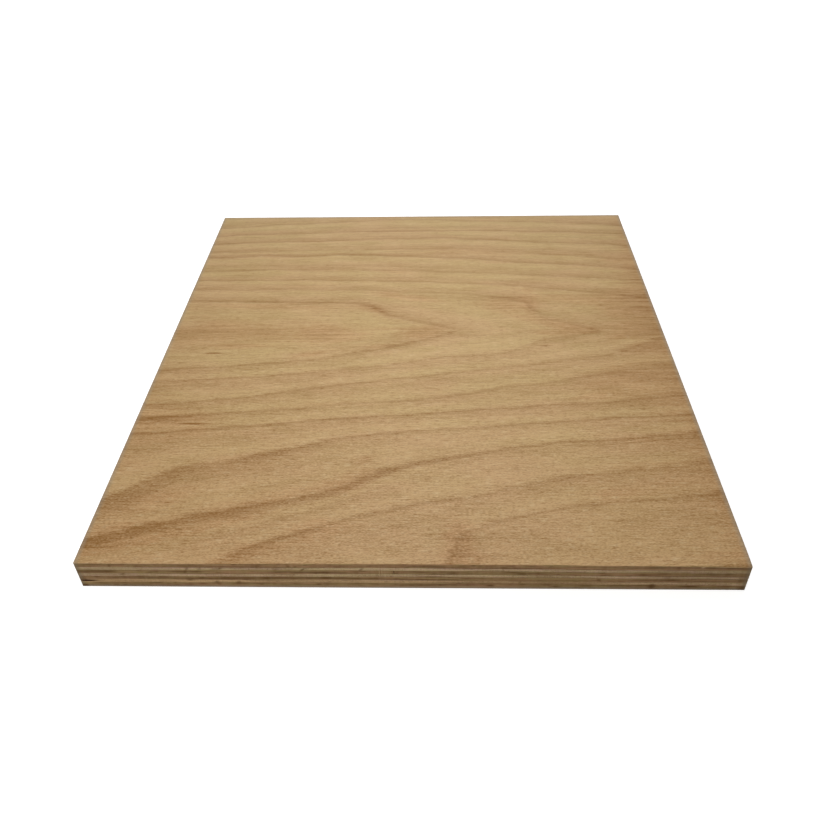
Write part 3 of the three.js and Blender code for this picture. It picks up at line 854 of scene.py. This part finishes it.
FACE_DARK = linear(138, 96, 42)
FACE_PINK = linear(196, 162, 115)
FACE_OLIVE = linear(194, 165, 113)
FACE_WARM = linear(201, 159, 111)
FACE_PALE = linear(214, 186, 142)
RIM_SHADE_GREY = linear(154, 142, 122)  # painted shade and greying along the rims of the sides and back, where the arrises round away
LEAST_PACE = 0.008  # rings to a millimetre, where they are so far apart that they would blur


def ring_profile(s, along, across, ragged):
    """The growth rings' darkness, and how far through its ring each place is, from 0 to 1.

    along and across are how far the rings' lines are moved about, and ragged is how far the
    streaks at the far side of a broad line reach, all in millimetres.
    """
    pace, broad, dark = s.attribute("pace"), s.attribute("broad"), s.attribute("dark")
    stray = s.add(s.times(pace, across), s.times(s.attribute("lean"), along))
    share = s.math("FRACT", s.add(s.attribute("ring"), stray))
    safe_pace = s.math("MAXIMUM", pace, LEAST_PACE)
    past = s.math("DIVIDE", share, safe_pace)
    ahead = s.math("DIVIDE", s.math("SUBTRACT", 1.0, share), safe_pace)
    line = s.math("MAXIMUM", s.fade(past, 1.0), s.fade(ahead, 0.8))
    beyond = s.math("DIVIDE", s.add(past, ragged), broad)
    late_wood = s.math("MAXIMUM", s.band(beyond, 0.35, 1.5, 1.0, 0.0), s.fade(ahead, 1.4))
    fullness = s.band(broad, 0.6, 5.0, 0.05, 0.3)
    core = s.band(broad, 0.6, 5.0, 0.2, 0.1)
    return s.times(dark, s.add(s.times(line, core), s.times(late_wood, fullness))), share


def face_material(name, pits):
    """Sanded rotary-cut beech: ring lines, ray flecks, fibres and a drifting colour."""
    s = Shader(bpy.data.materials.new(name), flat=True)
    fibres = s.noise(s.place((22, 0.5, 1)), 3.0, 0.6)
    flecks = s.noise(s.place((5, 0.8, 1)), 1.0, 0.4)
    rays = s.noise(s.place((3.6, 0.65, 1), (7, 3, 0)), 0.0)
    grain = s.noise(s.place((1.7, 0.55, 1), (3, 8, 0)), 2.0, 0.6)
    grit = s.noise(s.place((1.3, 0.34, 1), (8, 5, 0)), 1.0)
    rows = s.noise(s.place((14, 0.6, 1), (2, 9, 0)), 1.0)
    steps = s.noise(s.place((13, 1.5, 1), (6, 5, 0)), 1.0)
    wander = s.noise(s.place((24, 5, 1), (5, 1, 0)), 1.0)
    cloud = s.noise(s.place((26, 7, 1), (1, 6, 0)), 2.0)
    drift = s.noise(s.place((60, 22, 1), (4, 4, 0)), 1.0)
    streaks = s.noise(s.place((55, 1.9, 1), (8, 2, 0)), 3.0, 0.6)
    thin = s.noise(s.ring_place(5.0, 90.0), 3.0, 0.65)

    across = s.add(s.add(steps, -0.5), s.swing(wander, 2.0))
    lines, share = ring_profile(s, s.swing(rows, 14.0), across, s.swing(fibres, 4.0))

    back_to_front = s.axis("Y")  # from 0.15 to -0.15
    dashes = s.band(flecks, 0.56, 0.72)
    ticks = s.band(rays, 0.6, 0.78)
    pale_dashes = s.band(flecks, 0.42, 0.25)
    closeness = s.band(back_to_front, 0.15, -0.15, 0.62, 1.28)
    fine = s.add(s.times(dashes, 0.14), s.times(ticks, 0.19), s.swing(grain, 0.36),
                 s.swing(grit, s.band(back_to_front, 0.1, -0.15, 0.1, 0.9)),
                 s.swing(fibres, s.band(back_to_front, 0.0, -0.15, 0.58, 0.45)))
    stain = s.times(s.attribute("shade"), s.band(streaks, 0.3, 0.7, 0.65, 1.3))
    late = s.times(s.math("COSINE", s.times(s.add(share, -0.22), 2 * math.pi)), 0.08)
    darkness = s.add(0.19, lines, stain, late, s.times(fine, closeness), s.swing(streaks, 0.3),
                     s.swing(thin, 0.37), s.swing(cloud, 0.36))
    for left, back, length, width, dark in pits:
        middle = (lowest.x + left * MM, highest.y - back * MM, 0.0)
        pit = s.times(s.spot(middle, (length, width, math.inf)), dark / 100)
        darkness = s.add(darkness, pit)

    hue = s.add(s.swing(drift, 2.0), s.swing(cloud, 1.4), s.times(late, -2.5), s.swing(thin, 1.2))
    ground = s.mix(s.band(hue, -0.6, 0.6), FACE_PINK, FACE_OLIVE)
    warmth = s.add(s.band(back_to_front, 0.02, -0.15, 0.0, 0.45),
                   s.band(stain, 0.02, 0.2, 0.0, 0.45))
    ground = s.mix(warmth, ground, FACE_WARM)
    ground = s.mix(s.times(pale_dashes, closeness, 0.4), ground, FACE_PALE)
    colour = s.mix(s.clamped(darkness), ground, FACE_DARK)
    # A grey rim painted along the sides and back: painted shade where the arrises round away from
    # the light.
    from_rim = s.math("MINIMUM", s.margin("X"), s.math("SUBTRACT", half_y, back_to_front))
    wear_and_rim_shade = s.times(s.band(from_rim, 3 * MM, 0.3 * MM, 0.0, 0.6), s.band(grain, 0.3, 0.6, 0.7, 1.0))
    colour = s.mix(wear_and_rim_shade, colour, RIM_SHADE_GREY)

    relief = s.add(s.times(dashes, -0.8), s.times(ticks, -1.0), s.times(fibres, 0.9),
                   s.times(pale_dashes, 0.4))
    roughness = s.band(fibres, 0.3, 0.7, 0.5, 0.62)
    return s.finish(colour, roughness, s.bump(relief, 0.4, 0.06), 0.3)


SIDE_OLIVE = linear(160, 134, 86)
SIDE_RED = linear(168, 130, 90)
SIDE_DARK = linear(86, 54, 26)
END_OLIVE = linear(202, 178, 132)
END_PINK = linear(206, 172, 142)
END_WARM = linear(208, 170, 120)  # on the lower crossband
END_DARK = linear(134, 104, 70)
GLUE_BROWN = linear(84, 60, 36)
STAIN_BROWN = linear(88, 58, 12)
# painted shade deep in the split and the open joint
HOLLOW_SHADE_BROWN = linear(58, 20, 0)
# for pale marks and scratches, and for the painted highlight on the front's top arris
SCRATCH_AND_HIGHLIGHT_PALE = linear(214, 180, 132)
BOTTOM_GREY = linear(152, 138, 122)  # greyer along the bottom of the edge
# painted shade at the panel's upright corners
CORNER_SHADE_GREY = linear(120, 109, 86)


def edge_material(name, grain, shows_end):
    """A sawn edge. grain is the axis of the ply's fibres, 0 for X and 1 for Y."""
    s = Shader(bpy.data.materials.new(name))
    height = s.axis("Z")

    def along_grain(long, across, up):
        return (long, across, up) if grain == 0 else (across, long, up)

    saw = s.noise(s.place((1.3, 1.3, 9)), 1.0, 0.6)
    mottle = s.noise(s.place(along_grain(4, 2.5, 0.8), (9, 2, 5)), 2.0, 0.6)
    blush = s.noise(s.place(along_grain(6, 3.5, 0.9), (2, 7, 1)), 1.0)
    tint = s.add(s.noise(s.place((34, 34, 1.6), (3, 5, 8)), 1.0), s.swing(blush, 0.8))
    if shows_end:
        checks = s.borders(s.place(along_grain(40, 1.6, 3.2)))
        marks = s.band(checks, 0.0, 0.06, 0.25, 0.0)
        speckle = s.noise(s.place(along_grain(9, 0.7, 0.4)), 2.0)
        bands = s.noise(s.place(along_grain(90, 16, 0.9)), 2.0, 0.55)
        drift = s.noise(s.place(along_grain(90, 40, 5)), 0.0)
        fine = s.add(speckle, -0.5)
        light = s.mix(s.band(tint, 0.3, 0.7), END_OLIVE, END_PINK)
        warmth = s.times(s.band(height, 6.1 * MM, 5.6 * MM, 0.0, 0.8),
                         s.band(s.axis("X"), 70 * MM, 120 * MM, 1.0, 0.3))
        light = s.mix(warmth, light, END_WARM)
        dark, base = END_DARK, 0.33
    else:
        fibres = s.noise(s.place(along_grain(30, 0.6, 0.3)), 2.0, 0.6)
        flecks = s.noise(s.place(along_grain(4, 0.4, 0.4)), 0.0)
        marks = s.band(flecks, 0.6, 0.75, 0.0, 0.3)
        bands = s.noise(s.place(along_grain(40, 14, 0.9)), 2.0, 0.55)
        drift = s.noise(s.place(along_grain(60, 40, 3)), 0.0)
        fine = s.swing(fibres, 1.5)
        tint = s.add(tint, s.band(height, 14.4 * MM, 15 * MM, 0.0, 0.12))
        light = s.mix(s.band(tint, 0.3, 0.7), SIDE_OLIVE, SIDE_RED)
        dark, base = SIDE_DARK, 0.29
    darkness = s.add(base, fine, marks, s.swing(bands, 1.5), s.swing(drift, 0.7),
                     s.swing(saw, 0.15), s.swing(mottle, 0.5))
    colour = s.mix(s.clamped(darkness), light, dark)
    # Greyer along the bottom 2 mm of the edge.
    greyed_low = s.times(s.band(height, 2.2 * MM, 0.5 * MM), s.band(mottle, 0.3, 0.7, 0.4, 0.9))
    colour = s.mix(greyed_low, colour, BOTTOM_GREY)
    # Painted shade near the upright corners, standing for the side face turning away from the
    # light.
    corner = s.band(s.math("MAXIMUM", s.margin("X"), s.margin("Y")), 2.6 * MM, 1.2 * MM)
    colour = s.mix(s.times(corner, 0.6), colour, CORNER_SHADE_GREY)
    line = s.fade(s.attribute("glue"), s.band(drift, 0.3, 0.7, 0.07, 0.14))
    colour = s.mix(s.times(line, 0.45), colour, GLUE_BROWN)
    shade = s.attribute("shade")
    colour = s.mix(s.math("MAXIMUM", shade, 0.0), colour, STAIN_BROWN)
    # Pale marks and scratches, and the painted highlight of the top arris.
    colour = s.mix(s.math("MAXIMUM", s.times(shade, -1.0), 0.0), colour, SCRATCH_AND_HIGHLIGHT_PALE)
    if shows_end == (grain == 1):  # the front and back edges
        for left, up, wide, tall, how_dark in HAIRLINES:
            middle = (lowest.x + left * MM, lowest.y, lowest.z + up * MM)
            line = s.times(s.spot(middle, (wide, HAIRLINE_DEPTH, tall)), abs(how_dark) / 100)
            colour = s.mix(line, colour, STAIN_BROWN if how_dark > 0 else SCRATCH_AND_HIGHLIGHT_PALE)
    # Painted shade in the split and the open joint.
    colour = s.mix(s.band(s.attribute("hollow_shade"), 0.0, 1.0), colour, HOLLOW_SHADE_BROWN)
    relief = s.add(s.times(fine, 0.5), s.times(marks, -0.5), s.times(saw, 0.2))
    roughness = s.band(saw, 0.3, 0.7, 0.7, 0.85)
    return s.finish(colour, roughness, s.bump(relief, 0.4, 0.08), 0.25)


# --- Putting the pieces together ---------------------------------------------------------------


def dress(mesh, ply):
    """Adds the ply's materials, and returns the number of the one on each face."""
    crossed = ply.name in CROSS_PLIES
    for wood in (end_across, side_across) if crossed else (side_along, end_along):
        mesh.materials.append(wood)  # on the front and back edges, then on the two sides
    index = np.zeros(len(mesh.polygons), int)
    band = ply.band_faces
    index[:band] = np.tile(rim.side % 2, band // rim.count)
    if ply.name in (FACE, BACK):
        mesh.materials.append(face_wood if ply.name == FACE else back_wood)
        index[band:] = 2
    if ply.name == FACE:
        arris = band - ARRIS_STEPS * rim.count
        bare = (rim.run > BARE_ARRIS[0]) & (rim.run < BARE_ARRIS[1])
        index[arris:band] = np.where(np.tile(bare, ARRIS_STEPS), index[arris:band], 2)
    return index


def make_ply(name):
    ply = Ply(name)
    if name == BACK:
        ply.spread(ply.low_ring, False, lowest.z)
    else:
        ply.close(ply.low_ring, False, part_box(name)[0].z)
    if name == FACE:
        ply.spread(ply.high_ring, True, highest.z)
    else:
        ply.close(ply.high_ring, True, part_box(name)[1].z)
    piece = ply.finish()
    mesh = piece.data
    if name == FACE:
        write_figure(mesh, ply, ring_field, FACE_STAINS)
    if name == BACK:
        write_figure(mesh, ply, back_field, ())
    mesh.polygons.foreach_set("material_index", dress(mesh, ply))
    mesh.polygons.foreach_set("use_smooth", np.ones(len(mesh.polygons), bool))
    mesh.set_sharp_from_angle(angle=math.radians(SHARP_ANGLE))
    mesh.update()
    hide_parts(name)
    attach(piece, "root")


side_along = edge_material("long_grain_side", 0, False)
end_along = edge_material("long_grain_end", 0, True)
side_across = edge_material("cross_grain_side", 1, False)
end_across = edge_material("cross_grain_end", 1, True)
face_wood = face_material("face_beech", FACE_PITS)
back_wood = face_material("back_beech", ())
for ply_name in PLIES:
    make_ply(ply_name)

# --- The studio --------------------------------------------------------------------------------

FLOOR_SIZE = 12.0
FLOOR_DROP = 0.02  # millimetres below the panel
FLOOR_GREY = linear(220, 220, 220)
NEAR, FAR = 0.20, 0.75  # metres from the panel's middle
NEAR_GLOW, FAR_GLOW = 0.77, 0.85  # what the camera sees there on top of the lit floor
WHITE = (1.0, 1.0, 1.0, 1.0)
SKY = 0.25

# Soft lamps, as (name, size, watts, place, what it points at).
LAMPS = (
    ("overhead", 0.25, 0.80, (0.0, 0.05, 0.37), (0.0, 0.05, 0.0)),
    ("front_fill", 0.5, 1.42, (-0.3, -0.6, 0.4), (0.0, 0.0, 0.0)),
    ("backdrop", 0.8, 1.8, (0.0, 1.1, 0.55), (0.0, 0.0, 0.0)),
)

IMAGE_SIDE = 823
FOCAL_PIXELS = 771.7
AXIS_COLUMN, AXIS_ROW = 417.4, 262.4  # where the camera's axis meets the picture
CAMERA_PLACE = (0.013927, -0.356415, 0.318268)
CAMERA_TURN = 1.9155  # degrees to the left of straight ahead
CAMERA_DIP = 34.113
CAMERA_ROLL = -1.3916


def make_floor():
    """A white floor, which keeps the panel's shadow and shows white to the camera."""
    half = FLOOR_SIZE / 2
    mesh = bpy.data.meshes.new("floor")
    corners = [(-half, -half, 0), (half, -half, 0), (half, half, 0), (-half, half, 0)]
    mesh.from_pydata(corners, [], [(0, 1, 2, 3)])
    floor = bpy.data.objects.new("floor", mesh)
    floor.location.z = lowest.z - FLOOR_DROP * MM
    bpy.context.scene.collection.objects.link(floor)
    s = Shader(bpy.data.materials.new("white_floor"))
    surface = s.nodes["Principled BSDF"]
    s.fill(surface, {"Base Color": FLOOR_GREY, "Roughness": 0.9, "Specular IOR Level": 0.0})
    strength = s.band(s.length(s.where()), NEAR, FAR, NEAR_GLOW, FAR_GLOW, ends="LINEAR")
    glow = s.node("ShaderNodeEmission", {"Strength": strength})
    both = s.node("ShaderNodeAddShader", {0: surface.outputs[0], 1: glow})
    s.show(surface.outputs[0], both, "Material Output")
    mesh.materials.append(s.owner)


def make_sky():
    world = bpy.data.worlds.new("studio")
    bpy.context.scene.world = world
    s = Shader(world)
    s.fill(s.nodes["Background"], {"Color": WHITE, "Strength": SKY})
    white = s.node("ShaderNodeBackground", {"Color": WHITE, "Strength": 1.0})
    s.show(s.nodes["Background"].outputs[0], white, "World Output")


def add_aimed(name, data, place, ahead, roll=0.0):
    """An object of lamp or camera data at a place, looking along ahead."""
    thing = bpy.data.objects.new(name, data)
    thing.location = place
    thing.rotation_mode = "QUATERNION"
    turn = Quaternion((0, 0, 1), math.radians(roll))
    thing.rotation_quaternion = ahead.to_track_quat("-Z", "Y") @ turn
    bpy.context.scene.collection.objects.link(thing)
    return thing


def make_lamp(name, size, watts, place, target):
    data = bpy.data.lights.new(name, "AREA")
    data.shape = "DISK"
    data.size = size
    data.energy = watts
    add_aimed(name, data, place, Vector(target) - Vector(place))


def make_camera():
    data = bpy.data.cameras.new("camera")
    data.sensor_width = 36.0
    data.lens = data.sensor_width * FOCAL_PIXELS / IMAGE_SIDE
    data.shift_x = (IMAGE_SIDE / 2 - AXIS_COLUMN) / IMAGE_SIDE
    data.shift_y = -(IMAGE_SIDE / 2 - AXIS_ROW) / IMAGE_SIDE
    data.clip_start, data.clip_end = 0.01, 50.0
    turn, dip = math.radians(CAMERA_TURN), math.radians(CAMERA_DIP)
    across, up = math.cos(dip), -math.sin(dip)
    ahead = Vector((-math.sin(turn) * across, math.cos(turn) * across, up))
    bpy.context.scene.camera = add_aimed("camera", data, CAMERA_PLACE, ahead, CAMERA_ROLL)


make_floor()
make_sky()
for lamp in LAMPS:
    make_lamp(*lamp)
make_camera()
bpy.context.scene.view_settings.view_transform = "Standard"
